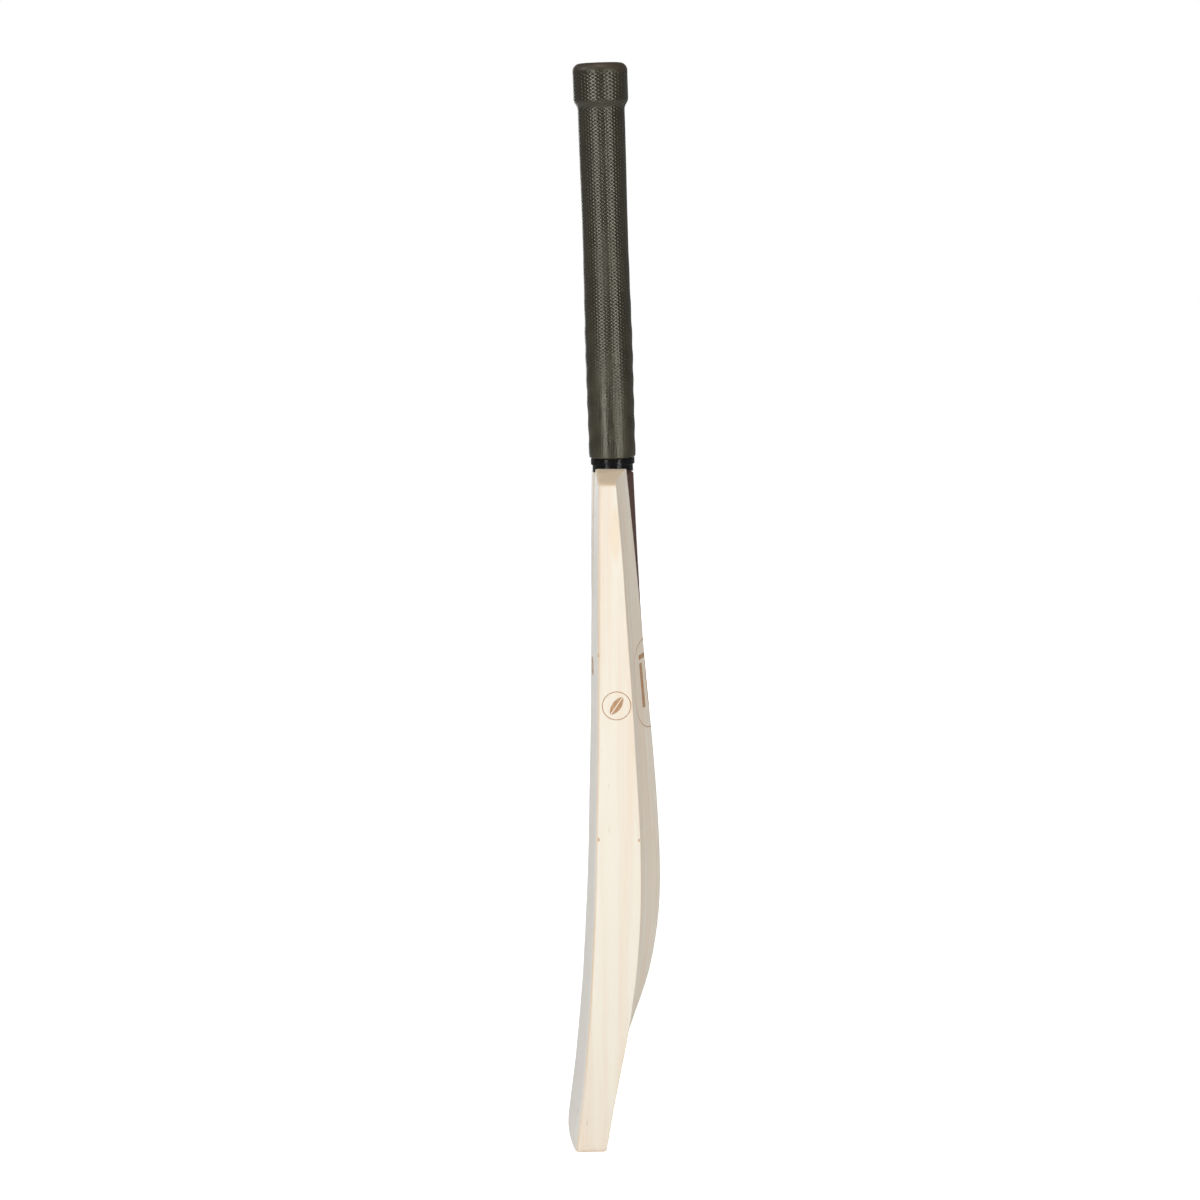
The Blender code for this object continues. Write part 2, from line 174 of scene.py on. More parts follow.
def ease(value: float, low: float, high: float) -> float:
    """Rise smoothly from 0 at low to 1 at high, or fall if low is the larger."""
    share = min(max((value - low) / (high - low), 0.0), 1.0)
    return share * share * (3.0 - 2.0 * share)


@dataclass(frozen=True)
class Axis:
    """The handle's leaning centre line."""

    foot: Vector
    way: Vector

    @classmethod
    def between(cls, low: str, high: str) -> "Axis":
        """The line through the middles of two packed rings.

        Args:
            low: The lower ring's node.
            high: The upper ring's node.

        Returns:
            The axis, placed at the lower ring.
        """
        middles = []
        for node in (low, high):
            points = [corner.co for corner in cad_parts[node].data.vertices]
            middles.append(sum(points, Vector()) / len(points))
        return cls(middles[0], (middles[1] - middles[0]).normalized())

    def along(self, point: Vector) -> float:
        """How far up the axis a point lies."""
        return (point - self.foot).dot(self.way)

    def spoke(self, point: Vector) -> Vector:
        """The shortest way from the axis out to a point."""
        return point - self.foot - self.along(point) * self.way

    def point(self, radius: float, angle: float, along: float) -> Vector:
        """The point at a place round the axis.

        Args:
            radius: Its distance from the axis.
            angle: Its angle from +X.
            along: Its distance up the axis.

        Returns:
            The point.
        """
        across = Vector((1.0, 0.0, 0.0))
        back = self.way.cross(across)
        outwards = math.cos(angle) * across + math.sin(angle) * back
        return self.foot + along * self.way + radius * outwards

    def outline(self, node: str) -> Outline:
        """Read the outline that a packed ring was swept from.

        Args:
            node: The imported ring.

        Returns:
            Its (radius, along) pairs, lowest first.
        """
        points = (corner.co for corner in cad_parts[node].data.vertices)
        pairs = {(round(self.spoke(p).length, 5), round(self.along(p), 5)) for p in points}
        return sorted(pairs, key=lambda pair: pair[1])


def spun(name: str, outline: Outline, axis: Axis, steps: int) -> Object:
    """Sweep an outline round the handle's axis.

    Args:
        name: The new piece's name.
        outline: (radius, along) pairs, joined in order.
        axis: The axis to turn about.
        steps: How many steps make the full turn.

    Returns:
        The new piece, with the sweep's seam merged.
    """
    mesh = bpy.data.meshes.new(name)
    points = [axis.point(radius, 0.0, along) for radius, along in outline]
    mesh.from_pydata(points, [(i, i + 1) for i in range(len(points) - 1)], [])
    piece = new_object(name, mesh)
    edit(piece)
    bpy.ops.mesh.spin(steps=steps, angle=TURN, center=axis.foot, axis=axis.way)
    close_edit()
    merge_doubles(piece, outwards=False)
    return piece


# ---- finishes


@dataclass(frozen=True)
class Grain:
    """A noise that a finish is broken up with.

    It has its cells per metre along X, Y and Z, its finer layers, a shift that tells it from
    another of its size, and the span of values over which what it drives sets in.
    """

    stretch: Triple
    layers: float = 2.0
    shift: float = 0.0
    span: Pair = MIDDLE


class Recipe:
    """A material's nodes, with short ways to add to them."""

    blot_fade: Pair = (1.0, 0.55)

    def __init__(self, name: str) -> None:
        """Start a material that has a Principled shader only.

        Args:
            name: The material's name.
        """
        self.material = bpy.data.materials.new(name)
        self.material.use_nodes = True
        self.tree = self.material.node_tree
        self.shader = self.tree.nodes["Principled BSDF"]
        self.place = self.node("ShaderNodeTexCoord").outputs["Object"]
        self.x, self.y, self.z = self.parts(self.place)

    def node(self, kind: str, **settings: object) -> bpy.types.Node:
        """Add a node and set its properties.

        Args:
            kind: Blender's name for the node.
            settings: The properties to set.

        Returns:
            The node.
        """
        made = self.tree.nodes.new(kind)
        for key, value in settings.items():
            setattr(made, key, value)
        return made

    def feed(self, socket: Socket, value: object) -> None:
        """Link a socket into another, or set it to a number or colour.

        Args:
            socket: The input to fill.
            value: A socket, a number, a vector or a colour.
        """
        if isinstance(value, bpy.types.NodeSocket):
            self.tree.links.new(value, socket)
        elif isinstance(value, tuple) and len(socket.default_value) == 4:
            socket.default_value = (*value, 1.0)
        else:
            socket.default_value = value

    def preset(self, name: str, value: object) -> None:
        """Set one of the shader's own sockets."""
        self.feed(self.shader.inputs[name], value)

    def parts(self, vector: Socket) -> tuple[Socket, ...]:
        """Split a vector.

        Args:
            vector: The vector.

        Returns:
            Its X, Y and Z.
        """
        split = self.node("ShaderNodeSeparateXYZ")
        self.feed(split.inputs[0], vector)
        return tuple(split.outputs)

    def maths(self, operation: str, *values: object, kind: str = "Math") -> Socket:
        """Add a Math or VectorMath node.

        Args:
            operation: Blender's name for what it does.
            values: Sockets, numbers or vectors, in order.
            kind: Which of the two nodes it is.

        Returns:
            Its result.
        """
        made = self.node(f"ShaderNode{kind}", operation=operation)
        for socket, value in zip(made.inputs, values):
            self.feed(socket, value)
        return made.outputs["Value" if operation == "LENGTH" else 0]

    def times(self, first: Socket, second: object) -> Socket:
        """Multiply two values."""
        return self.maths("MULTIPLY", first, second)

    def noise(self, grain: Grain) -> Socket:
        """Noise on Object coordinates.

        Args:
            grain: Its size, its layers and its shift.

        Returns:
            A value from 0 to 1, mostly near 0.5.
        """
        mapping = self.node("ShaderNodeMapping")
        self.feed(mapping.inputs["Vector"], self.place)
        self.feed(mapping.inputs["Scale"], grain.stretch)
        self.feed(mapping.inputs["Location"], (grain.shift, grain.shift, grain.shift))
        made = self.node("ShaderNodeTexNoise")
        self.feed(made.inputs["Vector"], mapping.outputs[0])
        self.feed(made.inputs["Scale"], 1.0)
        self.feed(made.inputs["Detail"], grain.layers)
        return made.outputs[0]

    def ramp(self, value: Socket, span: Pair, to: Pair = FULL) -> Socket:
        """Map a span of values smoothly onto another.

        Args:
            value: What to map.
            span: Where the ramp starts and ends.
            to: What it gives at each end.

        Returns:
            The mapped value, held at both ends.
        """
        made = self.node("ShaderNodeMapRange", interpolation_type="SMOOTHSTEP")
        for socket, given in zip(made.inputs, (value, *span, *to)):
            self.feed(socket, given)
        return made.outputs[0]

    def patches(self, grain: Grain, to: Pair = FULL) -> Socket:
        """Noise that sets in over its grain's own span, mapped onto another."""
        return self.ramp(self.noise(grain), grain.span, to)

    def blend(self, share: object, first: object, second: object) -> Socket:
        """Mix two colours.

        Args:
            share: How much of the second shows, a socket or a number.
            first: The first colour, or its socket.
            second: The second colour, or its socket.

        Returns:
            The mixed colour.
        """
        made = self.node("ShaderNodeMix", data_type="RGBA", blend_type="MIX")
        for socket, value in zip((made.inputs[0], *made.inputs[6:8]), (share, first, second)):
            self.feed(socket, value)
        return made.outputs[2]

    def cover(self, mask: Socket, share: float, under: object, over: Colour) -> Socket:
        """Lay a colour over another where a mask is, at a share of its strength."""
        return self.blend(self.times(mask, share), under, over)

    def facing(self) -> tuple[Socket, ...]:
        """How far the surface faces along X, Y and Z, each from 0 to 1."""
        normal = self.node("ShaderNodeNewGeometry").outputs["Normal"]
        return self.parts(self.maths("ABSOLUTE", normal, kind="VectorMath"))

    def forward(self) -> Socket:
        """How far the surface looks the way that the bat's face does, up to 1."""
        normal = self.node("ShaderNodeNewGeometry").outputs["Normal"]
        return self.times(self.parts(normal)[1], -1.0)

    def blot(self, centre: Triple, size: Triple) -> Socket:
        """A soft-edged mask of an ellipsoid.

        Args:
            centre: Its middle.
            size: Its half sizes.

        Returns:
            A mask that is 1 inside.
        """
        away = self.maths("SUBTRACT", self.place, centre, kind="VectorMath")
        away = self.maths("DIVIDE", away, size, kind="VectorMath")
        return self.ramp(self.maths("LENGTH", away, kind="VectorMath"), self.blot_fade)

    def bump(self, height: Socket, distance: float, under: Socket | None = None) -> Socket:
        """Raise the surface by a height map.

        Args:
            height: The map.
            distance: How high its value 1 stands.
            under: An earlier bump that it lies over.

        Returns:
            The bumped normal.
        """
        made = self.node("ShaderNodeBump")
        self.feed(made.inputs["Height"], height)
        self.feed(made.inputs["Distance"], distance)
        if under is not None:
            self.feed(made.inputs["Normal"], under)
        return made.outputs[0]

    def finish(self, colour: object, roughness: object, normal: Socket | None = None) -> Material:
        """Join the shader to what feeds it.

        Args:
            colour: The base colour, or its socket.
            roughness: The roughness, or its socket.
            normal: The bumped normal, if there is one.

        Returns:
            The finished material.
        """
        self.preset("Base Color", colour)
        self.preset("Roughness", roughness)
        if normal is not None:
            self.preset("Normal", normal)
        return self.material


class Surface(Enum):
    """A side of the blade that carries a mark, and where the mark's mask sets in.

    The edge's limits are distances from the middle, along X. The others are places along Y.
    """

    EDGE = (0.049, 0.051)
    BACK = (0.022, 0.026)
    FACE = (0.014, 0.010)


class Motif(Enum):
    """What is drawn in a printed mark."""

    LEAF = "leaf"
    STUMPS = "stumps"


@dataclass(frozen=True)
class Mark:
    """A printed mark: a thin ring, or none, round a plain motif.

    The motif's own sizes, from leaf_width on, are shares of the mark's size.
    """

    surface: Surface
    motif: Motif
    height: float
    across: float
    ring: float
    size: float
    tilt: float
    line: float = 0.0004
    line_fade: float = 0.3
    leaf_width: float = 0.42
    leaf_fade: float = 0.03
    rib: Pair = (0.02, 0.06)
    stump_pitch: float = 0.50
    stump_half: float = 0.12
    stump_tall: float = 0.70
    stump_fade: float = 0.015
    bail_rise: float = 0.192
    bail_half: float = 0.072

    def mask(self, kit: Recipe) -> Socket:
        """The printed area.

        Args:
            kit: The material that the mark goes on.

        Returns:
            A mask that is 1 where there is ink.
        """
        if self.surface is Surface.EDGE:
            across, depth = kit.y, kit.maths("ABSOLUTE", kit.x)
        else:
            across, depth = kit.x, kit.y
        across = kit.maths("SUBTRACT", across, self.across)
        up = kit.maths("SUBTRACT", kit.z, self.height)
        cos, sin = math.cos(self.tilt), math.sin(self.tilt)
        u = kit.maths("ADD", kit.times(across, cos), kit.times(up, sin))
        v = kit.maths("SUBTRACT", kit.times(up, cos), kit.times(across, sin))
        shape = self.leaf(kit, u, v) if self.motif is Motif.LEAF else self.stumps(kit, u, v)
        if self.ring:
            reach = self.length(kit, across, up)
            off = kit.maths("ABSOLUTE", kit.maths("SUBTRACT", reach, self.ring))
            ring = self.within(kit, off, self.line, self.line * self.line_fade)
            shape = kit.maths("MAXIMUM", shape, ring)
        return kit.times(shape, kit.ramp(depth, self.surface.value))

    @staticmethod
    def length(kit: Recipe, u: Socket, v: Socket) -> Socket:
        """The length of a flat vector."""
        return kit.maths("SQRT", kit.maths("ADD", kit.times(u, u), kit.times(v, v)))

    @staticmethod
    def within(kit: Recipe, value: Socket, limit: float, fade: float) -> Socket:
        """A mask that is 1 where a value stays under a limit, with a soft edge."""
        return kit.ramp(value, (limit + fade, limit - fade))

    def leaf(self, kit: Recipe, u: Socket, v: Socket) -> Socket:
        """A slim willow leaf with a bare midrib, where two discs overlap.

        Args:
            kit: The material.
            u: The distance across the leaf.
            v: The distance along it.

        Returns:
            The leaf's mask.
        """
        wide = self.leaf_width * self.size
        offset = (self.size * self.size - wide * wide) / (2.0 * wide)
        low, high = self.rib
        shape = kit.ramp(kit.maths("ABSOLUTE", u), (low * self.size, high * self.size))
        for shift in (-offset, offset):
            reach = self.length(kit, kit.maths("ADD", u, shift), v)
            disc = self.within(kit, reach, offset + wide, self.leaf_fade * self.size)
            shape = kit.times(shape, disc)
        return shape

    def stumps(self, kit: Recipe, u: Socket, v: Socket) -> Socket:
        """Three stumps and a line of bails.

        Args:
            kit: The material.
            u: The distance across them.
            v: The distance up them.

        Returns:
            Their mask.
        """
        fade, half = self.stump_fade * self.size, self.stump_half * self.size
        pitch, tall = self.stump_pitch * self.size, self.stump_tall * self.size
        bars = self.within(kit, kit.maths("PINGPONG", u, 0.5 * pitch), half, fade)
        outer = self.within(kit, kit.maths("ABSOLUTE", u), pitch + half, fade)
        high = self.within(kit, kit.maths("ABSOLUTE", v), tall, fade)
        bars = kit.times(kit.times(bars, outer), high)
        middle = tall + self.bail_rise * self.size
        over = kit.maths("ABSOLUTE", kit.maths("SUBTRACT", v, middle))
        bails = self.within(kit, over, self.bail_half * self.size, fade)
        return kit.maths("MAXIMUM", bars, kit.times(bails, outer))


@dataclass(frozen=True)
class Blemish:
    """A small natural mark in the willow: where it lies and how large and strong it is."""

    centre: Triple
    size: Triple
    strength: float
    colour: Colour


@dataclass(frozen=True)
class WillowFinish:
    """Pale pressed willow with straight grain, waxed, with plain printed marks, and a painted
    reflection that makes its face side paler and greyer.
    """

    cream: Colour = (0.860, 0.775, 0.655)
    peach: Colour = (0.845, 0.705, 0.560)
    dark_grain: Colour = (0.700, 0.520, 0.360)
    end_grain: Colour = (0.880, 0.670, 0.450)
    # painted reflection: a paler, greyer tone for the face side, standing for the white
    # surroundings reflected at a grazing angle
    painted_face_reflection: Colour = (0.900, 0.865, 0.815)
    corner: Colour = (0.820, 0.570, 0.350)
    ink: Colour = (0.450, 0.230, 0.095)
    streaks: Grain = Grain((75.0, 75.0, 2.2), 3.0, 0.0, (0.36, 0.66))
    fibres: Grain = Grain((1500.0, 1500.0, 26.0), 2.0, 9.0, (0.40, 0.70))
    flecks: Grain = Grain((420.0, 420.0, 60.0), 1.0, 21.0, (0.72, 0.80))
    corner_tint: Grain = Grain((60.0, 60.0, 9.0), 2.0, 33.0)
    ink_wear: Grain = Grain((900.0, 900.0, 500.0), 2.0, 55.0, (0.30, 0.50))
    polish: Grain = Grain((160.0, 160.0, 14.0), 3.0, 70.0)
    dents: Grain = Grain((110.0, 110.0, 18.0), 2.0, 80.0)
    wander: Grain = Grain((9.0, 9.0, 1.6), 2.0, 4.0)
    wander_reach: float = 0.006
    line_pitch: float = 0.0090
    line_slant: float = 0.14
    line_crest: Pair = (0.55, 1.0)
    line_share: float = 0.16
    fibre_share: float = 0.10
    fleck_share: float = 0.35
    face_turn: Pair = (0.50, 0.90)
    face_share: Pair = (0.0, 0.70)
    end_turn: Pair = (0.45, 0.85)
    end_share: float = 0.75
    corner_turn: Pair = (0.46, 0.66)
    corner_share: Pair = (0.30, 0.85)
    ink_share: Pair = (0.70, 1.0)
    roughness: Pair = (0.44, 0.60)
    fibre_height: float = 0.00006
    line_height: float = 0.00008
    dent_height: float = 0.00035
    wax: float = 0.12
    wax_roughness: float = 0.30
    marks: tuple[Mark, ...] = (
        Mark(Surface.EDGE, Motif.LEAF, 0.3750, 0.02045, 0.0113, 0.0090, -0.60),
        Mark(Surface.BACK, Motif.STUMPS, 0.3830, 0.0, 0.0365, 0.0260, 0.0),
        Mark(Surface.FACE, Motif.LEAF, 0.3970, 0.0, 0.0, 0.0180, 1.5708),
    )
    blemishes: tuple[Blemish, ...] = (
        Blemish((0.0540, 0.0062, 0.2657), (0.004, 0.0010, 0.0022), 0.80, (0.55, 0.28, 0.12)),
        Blemish((0.0540, 0.0385, 0.2648), (0.004, 0.0010, 0.0018), 0.80, (0.55, 0.28, 0.12)),
        Blemish((0.0535, 0.0060, 0.4156), (0.004, 0.0009, 0.0026), 0.70, (0.60, 0.32, 0.14)),
        Blemish((0.0535, 0.0195, 0.5130), (0.006, 0.0048, 0.0280), 0.50, (0.84, 0.64, 0.43)),
        Blemish((0.0540, -0.0032, 0.0270), (0.003, 0.0006, 0.0028), 0.32, (0.40, 0.32, 0.22)),
        Blemish((0.0420, -0.0120, 0.0330), (0.003, 0.0050, 0.0040), 0.25, (0.30, 0.27, 0.22)),
        Blemish((0.0250, 0.0050, 0.5250), (0.003, 0.0040, 0.0030), 0.60, (0.50, 0.30, 0.16)),
        Blemish((-0.0310, 0.0050, 0.5120), (0.003, 0.0040, 0.0040), 0.50, (0.50, 0.30, 0.16)),
        Blemish((-0.0540, 0.0240, 0.1900), (0.003, 0.0012, 0.0050), 0.60, (0.58, 0.34, 0.16)),
    )

    def material(self) -> Material:
        """Build the finish.

        Returns:
            The material.
        """
        kit = Recipe("willow")
        lines, fibres = self.lines(kit), kit.patches(self.fibres)
        colour = kit.blend(kit.patches(self.streaks), self.cream, self.peach)
        # painted reflection: the side that looks the way of the face is blended towards the paler,
        # greyer tone
        face_reflection_share = kit.ramp(kit.forward(), self.face_turn, self.face_share)
        colour = kit.blend(face_reflection_share, colour, self.painted_face_reflection)
        colour = kit.cover(lines, self.line_share, colour, self.dark_grain)
        colour = kit.cover(fibres, self.fibre_share, colour, self.dark_grain)
        colour = kit.cover(kit.patches(self.flecks), self.fleck_share, colour, self.dark_grain)
        colour = self.mark(kit, self.shade(kit, colour))
        normal = kit.bump(fibres, self.fibre_height)
        normal = kit.bump(lines, self.line_height, normal)
        normal = kit.bump(kit.noise(self.dents), self.dent_height, normal)
        kit.preset("Coat Weight", self.wax)
        kit.preset("Coat Roughness", self.wax_roughness)
        return kit.finish(colour, kit.patches(self.polish, self.roughness), normal)

    def lines(self, kit: Recipe) -> Socket:
        """The growth rings' lines, nearly straight down the blade.

        Args:
            kit: The material.

        Returns:
            A mask that is 1 on the lines.
        """
        across = kit.maths("MULTIPLY_ADD", kit.y, self.line_slant, kit.x)
        across = kit.maths("MULTIPLY_ADD", kit.noise(self.wander), self.wander_reach, across)
        wave = kit.maths("SINE", kit.times(across, TURN / self.line_pitch))
        return kit.ramp(wave, self.line_crest)

    def shade(self, kit: Recipe, colour: Socket) -> Socket:
        """Warm the end grain and the rounded corners.

        Args:
            kit: The material.
            colour: The plain wood.

        Returns:
            The shaded wood.
        """
        facing_x, facing_y, facing_z = kit.facing()
        ends = kit.ramp(facing_z, self.end_turn)
        colour = kit.cover(ends, self.end_share, colour, self.end_grain)
        corner = kit.ramp(kit.maths("MINIMUM", facing_x, facing_y), self.corner_turn)
        tint = kit.patches(self.corner_tint, self.corner_share)
        return kit.blend(kit.times(corner, tint), colour, self.corner)

    def mark(self, kit: Recipe, colour: Socket) -> Socket:
        """Add the wood's blemishes and the printed marks.

        Args:
            kit: The material.
            colour: The shaded wood.

        Returns:
            The marked wood.
        """
        for spot in self.blemishes:
            mask = kit.blot(spot.centre, spot.size)
            colour = kit.cover(mask, spot.strength, colour, spot.colour)
        worn = kit.patches(self.ink_wear, self.ink_share)
        for mark in self.marks:
            colour = kit.blend(kit.times(mark.mask(kit), worn), colour, self.ink)
        return colour


@dataclass(frozen=True)
class CaneFinish:
    """Cane with long fine bundles of fibre, pale, and stained dark where the back shows it."""

    stain: Colour = (0.078, 0.034, 0.026)
    bare: Colour = (0.150, 0.078, 0.052)
    pore: Colour = (0.030, 0.013, 0.010)
    pale: Colour = (0.780, 0.660, 0.500)
    pale_pore: Colour = (0.560, 0.410, 0.260)
    bundles: Grain = Grain((1100.0, 1100.0, 9.0), 3.0)
    pores: Grain = Grain((2200.0, 2200.0, 22.0), 1.0, 5.0, (0.60, 0.72))
    bare_span: Pair = (0.45, 0.75)
    pale_span: Pair = (0.40, 0.80)
    pore_share: float = 0.7
    pale_share: float = 0.45
    stained_depths: Pair = (0.011, 0.017)
    stained_heights: Pair = (0.600, 0.580)
    roughness: Pair = (0.42, 0.62)
    relief: float = 0.00008
    shine: float = 0.3

    def material(self) -> Material:
        """Build the finish.

        Returns:
            The material.
        """
        kit = Recipe("cane")
        bundle = kit.noise(self.bundles)
        pore = kit.patches(self.pores)
        dark = kit.blend(kit.ramp(bundle, self.bare_span), self.stain, self.bare)
        dark = kit.cover(pore, self.pore_share, dark, self.pore)
        fibre = kit.ramp(bundle, self.pale_span)
        bright = kit.cover(fibre, self.pale_share, self.pale, self.pale_pore)
        behind = kit.ramp(kit.y, self.stained_depths)
        stained = kit.times(behind, kit.ramp(kit.z, self.stained_heights))
        normal = kit.bump(pore, -self.relief, kit.bump(bundle, self.relief))
        kit.preset("Specular IOR Level", self.shine)
        rough = kit.ramp(bundle, MIDDLE, self.roughness)
        return kit.finish(kit.blend(stained, bright, dark), rough, normal)


@dataclass(frozen=True)
class RubberFinish:
    """Dark olive rubber with painted shade in its dimples, blotchy where it is stretched."""

    base: Colour = (0.020, 0.017, 0.0090)
    faded: Colour = (0.038, 0.032, 0.018)
    lip: Colour = (0.040, 0.026, 0.017)
    # painted shade at the bottom of the dimples
    painted_pit_shade: Colour = (0.004, 0.0035, 0.0025)
    shine_tint: Colour = (1.0, 0.94, 0.76)
    clouds: Grain = Grain((85.0, 85.0, 34.0), 3.0)
    folds: Grain = Grain((900.0, 900.0, 26.0), 2.0, 3.0)
    speckle: Grain = Grain((2600.0, 2600.0, 2600.0), 1.0, 8.0)
    faded_span: Pair = (0.40, 0.70)
    faded_heights: Pair = (0.720, 0.600)
    faded_share: Pair = (0.35, 1.0)
    lip_heights: Pair = (0.866, 0.874)
    lip_share: float = 0.8
    pit_shade_span: Pair = (0.05, 0.55)
    drawn_heights: Pair = (0.680, 0.630)
    drawn_share: Pair = (0.30, 1.0)
    dull_span: Pair = (0.30, 0.72)
    roughness: Pair = (0.18, 0.32)
    drawn_roughness: float = 0.08
    lip_roughness: float = 0.30
    fold_height: float = 0.00022
    speckle_height: float = 0.00004
    shine: float = 0.75

    def material(self) -> Material:
        """Build the finish, which reads the attribute pit, 1 at the bottom of a dimple, and darkens
        the colour there as painted shade.

        Returns:
            The material.
        """
        kit = Recipe("grip_rubber")
        cloud = kit.noise(self.clouds)
        share = kit.ramp(kit.z, self.faded_heights, self.faded_share)
        worn = kit.times(kit.ramp(cloud, self.faded_span), share)
        colour = kit.blend(worn, self.base, self.faded)
        rim = kit.ramp(kit.z, self.lip_heights)
        colour = kit.cover(rim, self.lip_share, colour, self.lip)
        pit = kit.node("ShaderNodeAttribute", attribute_name="pit").outputs["Fac"]
        # painted shade: the colour turns near black towards the bottom of each dimple
        colour = kit.blend(kit.ramp(pit, self.pit_shade_span), colour, self.painted_pit_shade)
        low = kit.ramp(kit.z, self.drawn_heights)
        drawn = kit.times(kit.noise(self.folds), kit.ramp(low, FULL, self.drawn_share))
        rough = kit.ramp(cloud, self.dull_span, self.roughness)
        rough = kit.maths("MULTIPLY_ADD", low, self.drawn_roughness, rough)
        rough = kit.maths("MULTIPLY_ADD", rim, self.lip_roughness, rough)
        normal = kit.bump(drawn, self.fold_height)
        normal = kit.bump(kit.noise(self.speckle), self.speckle_height, normal)
        kit.preset("Specular IOR Level", self.shine)
        kit.preset("Specular Tint", self.shine_tint)
        return kit.finish(colour, rough, normal)


@dataclass(frozen=True)
class TapeFinish:
    """Glossy black tape with fine stretch lines round it."""

    base: Colour = (0.005, 0.005, 0.0055)
    scuffed: Colour = (0.014, 0.014, 0.015)
    scuffs: Grain = Grain((420.0, 420.0, 900.0), 3.0, 0.0, (0.58, 0.75))
    gloss: Grain = Grain((200.0, 200.0, 500.0), 2.0, 6.0, (0.35, 0.70))
    stretch_lines: Grain = Grain((120.0, 120.0, 1300.0), 2.0, 2.0)
    lumps: Grain = Grain((330.0, 330.0, 330.0), 1.0, 7.0)
    roughness: Pair = (0.10, 0.26)
    line_height: float = 0.00012
    lump_height: float = 0.00025
    shine: float = 0.16

    def material(self) -> Material:
        """Build the finish.

        Returns:
            The material.
        """
        kit = Recipe("tape")
        colour = kit.blend(kit.patches(self.scuffs), self.base, self.scuffed)
        normal = kit.bump(kit.noise(self.stretch_lines), self.line_height)
        normal = kit.bump(kit.noise(self.lumps), self.lump_height, normal)
        kit.preset("Specular IOR Level", self.shine)
        return kit.finish(colour, kit.patches(self.gloss, self.roughness), normal)


@dataclass(frozen=True)
class TwineFinish:
    """Glued linen thread wound tight, with painted shade between its turns."""

    thread: Colour = (0.520, 0.430, 0.290)
    # painted shade of the grooves between turns, also used as the darker tone of the ply's random
    # patches
    shade: Colour = (0.260, 0.200, 0.120)
    ply: Grain = Grain((1800.0, 1800.0, 5000.0))
    ply_span: Pair = (0.5, 0.8)
    ply_share: Pair = (0.0, 0.4)
    pitch: float = 0.0008
    turn_height: float = 0.0002
    roughness: Pair = (0.6, 0.9)

    def material(self) -> Material:
        """Build the finish.

        Returns:
            The material.
        """
        kit = Recipe("twine")
        wave = kit.maths("SINE", kit.times(kit.z, TURN / self.pitch))
        turns = kit.ramp(wave, (-1.0, 1.0))
        ply = kit.noise(self.ply)
        # painted shade: the colour darkens in the grooves between the turns, where the bump is
        # lowest
        colour = kit.blend(turns, self.shade, self.thread)
        colour = kit.blend(kit.ramp(ply, self.ply_span, self.ply_share), colour, self.shade)
        rough = kit.ramp(ply, MIDDLE, self.roughness)
        return kit.finish(colour, rough, kit.bump(turns, self.turn_height))


@dataclass(frozen=True)
class SpringFinish:
    """Plain black rubber strip."""

    base: Colour = (0.040, 0.040, 0.041)
    dusty: Colour = (0.085, 0.083, 0.080)
    dust: Grain = Grain((500.0, 500.0, 500.0), 3.0)
    dusty_span: Pair = (0.45, 0.75)
    roughness: Pair = (0.65, 0.85)
    relief: float = 0.00006

    def material(self) -> Material:
        """Build the finish.

        Returns:
            The material.
        """
        kit = Recipe("spring_rubber")
        dust = kit.noise(self.dust)
        colour = kit.blend(kit.ramp(dust, self.dusty_span), self.base, self.dusty)
        rough = kit.ramp(dust, MIDDLE, self.roughness)
        return kit.finish(colour, rough, kit.bump(dust, self.relief))


# ---- sub-assemblies


@dataclass
class Blade:
    """The willow blade, with its corners and shoulders as the frame gives them."""

    finish: WillowFinish = WillowFinish()

    def build(self) -> None:
        """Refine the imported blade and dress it."""
        dress(refined_copy("blade", "willow_blade"), self.finish.material(), "willow", "blade")


@dataclass
class Handle:
    """Twelve canes in four slabs, three rubber springs and the twine round them."""

    cane: CaneFinish = CaneFinish()
    spring: SpringFinish = SpringFinish()
    twine: TwineFinish = TwineFinish()

    def build(self) -> None:
        """Refine the canes, and dress the springs and the twine where they are."""
        cane = self.cane.material()
        stay = {"spring": self.spring.material(), "twine": self.twine.material()}
        for node, packed in sorted(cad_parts.items()):
            kind = node.split("_")[0]
            if kind == "cane":
                dress(refined_copy(node, f"shown_{node}"), cane, "cane", node)
            elif kind in stay:
                packed.material_slots[0].material = stay[kind]
                LOG.info("%s: finish %s", node, stay[kind].name)


@dataclass(frozen=True)
class Wrap:
    """One wrap of tape: its packed ring, the angle of its tail and the arch of its foot."""

    node: str
    tail_at: float
    arch: float


